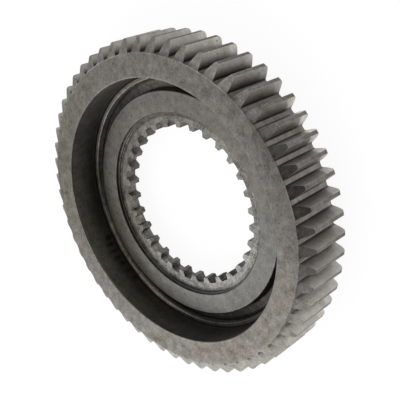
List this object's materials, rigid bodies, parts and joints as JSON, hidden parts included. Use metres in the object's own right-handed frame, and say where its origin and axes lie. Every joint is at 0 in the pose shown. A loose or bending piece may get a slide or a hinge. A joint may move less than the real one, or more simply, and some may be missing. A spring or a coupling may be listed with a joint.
{
  "type": "spur gear with internal clutch teeth",
  "caption": "Wide steel spur gear with chamfered tooth ends, a deep front recess with a groove round the hub, and a thin web with internal clutch teeth.",
  "frame": {"origin": "centre of the back face, on the gear's axis", "axes": "+Z along the gear's axis towards the recessed front; +X through the middle of an outer tooth"},
  "size_m": [0.2499, 0.25, 0.0395],
  "materials": {
    "steel": "machined and heat-treated, dull grey with dark stains"
  },
  "bodies": {
    "root": {"gear": "steel"}
  },
  "joints": []
}
